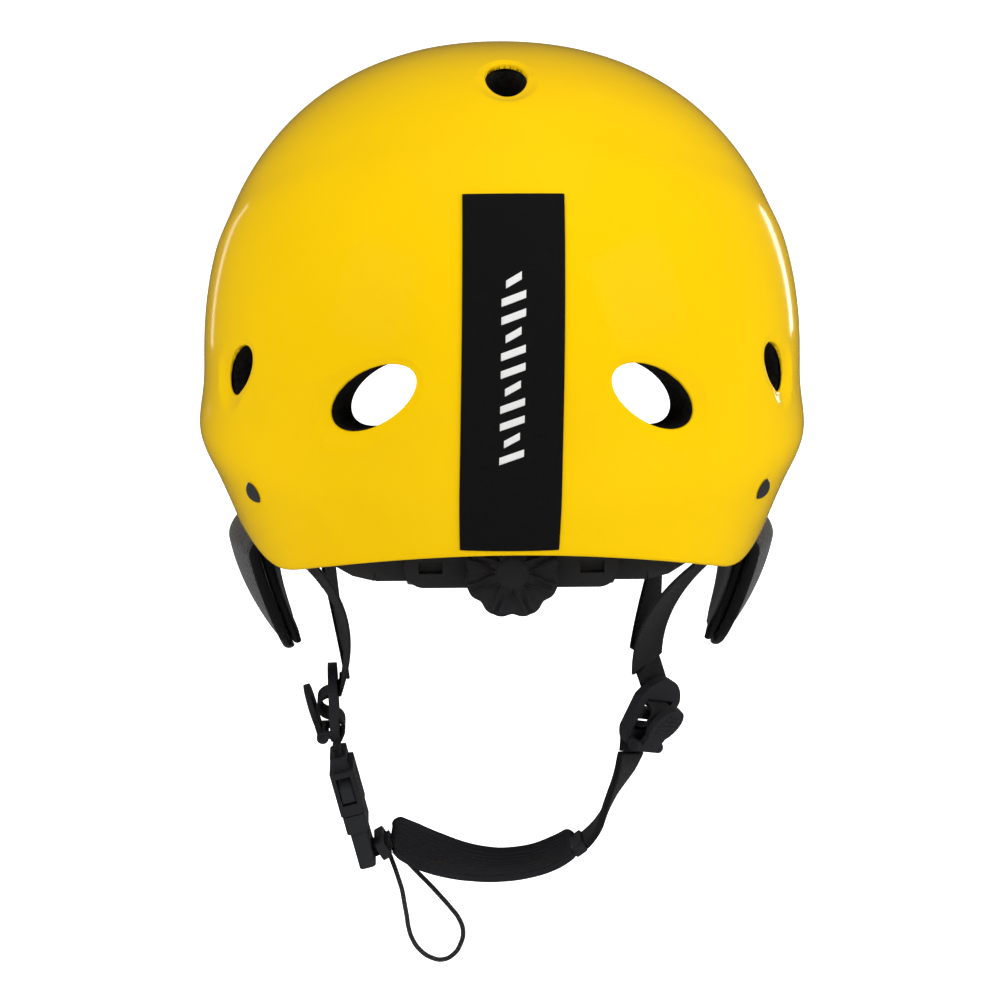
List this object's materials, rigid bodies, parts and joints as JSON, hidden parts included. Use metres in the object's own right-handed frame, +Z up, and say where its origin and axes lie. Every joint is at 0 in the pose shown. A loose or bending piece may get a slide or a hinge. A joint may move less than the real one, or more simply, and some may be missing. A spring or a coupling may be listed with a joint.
{
  "type": "water sports helmet",
  "caption": "Hard-shell water sports helmet with vents, foam liner, dial-adjusted cradle, ear guards and a buckled chin strap.",
  "frame": {"origin": "centre of the crown pad's inner face, where the top of the head rests", "axes": "+Z up, +Y towards the wearer's face, +X towards the wearer's right; the rear strip and the dial are on -Y"},
  "size_m": [0.2144, 0.2597, 0.3395],
  "materials": {
    "shell_gloss": "high gloss moulded ABS",
    "strip_vinyl": "satin vinyl with a fine weave",
    "foam": "closed-cell foam with a fine skin",
    "pad_fabric": "brushed knit over soft foam",
    "hook_tape": "hook-and-loop tape",
    "rivet_metal": "bright plated",
    "anchor_plastic": "moulded nylon",
    "webbing": "ribbed polyester webbing",
    "buckle_plastic": "satin moulded acetal",
    "plug_plastic": "satin moulded acetal",
    "chin_rubber": "glossy moulded rubber",
    "cord": "braided elastic cord",
    "ear_fabric": "heather knit over foam",
    "ear_rubber": "glossy moulded rubber",
    "cradle_plastic": "satin moulded nylon",
    "dial_plastic": "fine textured nylon",
    "gear_plastic": "natural acetal",
    "spring_steel": "plain bright steel"
  },
  "bodies": {
    "helmet": {"outer_shell": "shell_gloss", "rear_strip": "strip_vinyl", "impact_liner": "foam", "crown_pad": "pad_fabric", "front_pad": "pad_fabric", "rear_pad": "pad_fabric", "left_side_pad": "pad_fabric", "right_side_pad": "pad_fabric", "pad_fasteners": "hook_tape", "rivets": "rivet_metal", "rivet_washers": "rivet_metal", "strap_anchors": "anchor_plastic", "left_rear_strap": "webbing", "left_front_strap": "webbing", "right_rear_strap": "webbing", "right_front_strap": "webbing", "left_adjuster_frame": "buckle_plastic", "right_adjuster_frame": "buckle_plastic", "left_ear_tab": "ear_fabric", "right_ear_tab": "ear_fabric", "temple_pegs": "cradle_plastic", "peg_caps": "cradle_plastic"},
    "cradle": {"cradle_housing": "cradle_plastic", "cradle_cover": "cradle_plastic", "nape_pad": "pad_fabric", "ratchet_spring": "spring_steel"},
    "dial": {"dial_knob": "dial_plastic", "dial_pinion": "gear_plastic", "dial_screw": "spring_steel"},
    "left_band_slider": {"left_band": "cradle_plastic"},
    "right_band_slider": {"right_band": "cradle_plastic"},
    "left_lever": {"left_adjuster_lever": "buckle_plastic"},
    "right_lever": {"right_adjuster_lever": "buckle_plastic"},
    "left_ear": {"left_ear_guard": "ear_fabric", "left_ear_pad": "ear_rubber"},
    "right_ear": {"right_ear_guard": "ear_fabric", "right_ear_pad": "ear_rubber"},
    "chin_strap": {"left_tail_strap": "webbing", "buckle_socket": "buckle_plastic", "right_chin_strap": "webbing"},
    "chin_release": {"buckle_plug": "plug_plastic", "buckle_prongs": "plug_plastic", "buckle_webbing": "webbing", "strap_keeper": "buckle_plastic", "chin_cup": "chin_rubber", "pull_cord": "cord"}
  },
  "joints": [
    {"name": "cradle_tilt", "type": "hinge", "parent": "helmet", "child": "cradle", "pos_m": [0, 0.05, -0.1101], "axis": [1, 0, 0], "range_deg": [-4, 3]},
    {"name": "dial_turn", "type": "hinge", "parent": "cradle", "child": "dial", "pos_m": [0, -0.105, -0.1406], "axis": [0, 1, 0], "range_deg": [0, 148]},
    {"name": "left_band_slide", "type": "slide", "parent": "cradle", "child": "left_band_slider", "axis": [1, 0, 0], "range_m": [0, 0.008]},
    {"name": "right_band_slide", "type": "slide", "parent": "cradle", "child": "right_band_slider", "axis": [-1, 0, 0], "range_m": [0, 0.008]},
    {"name": "left_lever_flip", "type": "hinge", "parent": "helmet", "child": "left_lever", "pos_m": [-0.06516, 0, -0.22657], "axis": [0, -1, 0], "range_deg": [-8, 70]},
    {"name": "right_lever_flip", "type": "hinge", "parent": "helmet", "child": "right_lever", "pos_m": [0.05296, -0.00308, -0.23219], "axis": [0.6074, 0.7431, -0.2807], "range_deg": [-8, 70]},
    {"name": "left_ear_flex", "type": "hinge", "parent": "helmet", "child": "left_ear", "pos_m": [-0.0917, 0, -0.1391], "axis": [0, 1, 0], "range_deg": [0, 14], "stiffness_Nm_per_rad": 0.2},
    {"name": "right_ear_flex", "type": "hinge", "parent": "helmet", "child": "right_ear", "pos_m": [0.0917, 0, -0.1391], "axis": [0, -1, 0], "range_deg": [0, 14], "stiffness_Nm_per_rad": 0.2},
    {"name": "chin_swing", "type": "hinge", "parent": "helmet", "child": "chin_strap", "pos_m": [-0.00632, 0, -0.23344], "axis": [0.9993, 0, -0.0361], "range_deg": [-18, 18]},
    {"name": "buckle_release", "type": "slide", "parent": "chin_strap", "child": "chin_release", "axis": [0.2521, 0, -0.9677], "range_m": [0, 0.018], "deforming": ["buckle_prongs"]}
  ],
  "couplings": [
    {"joint": "left_band_slide", "follows": "dial_turn", "m_per_rad": 0.003},
    {"joint": "right_band_slide", "follows": "dial_turn", "m_per_rad": 0.003}
  ]
}
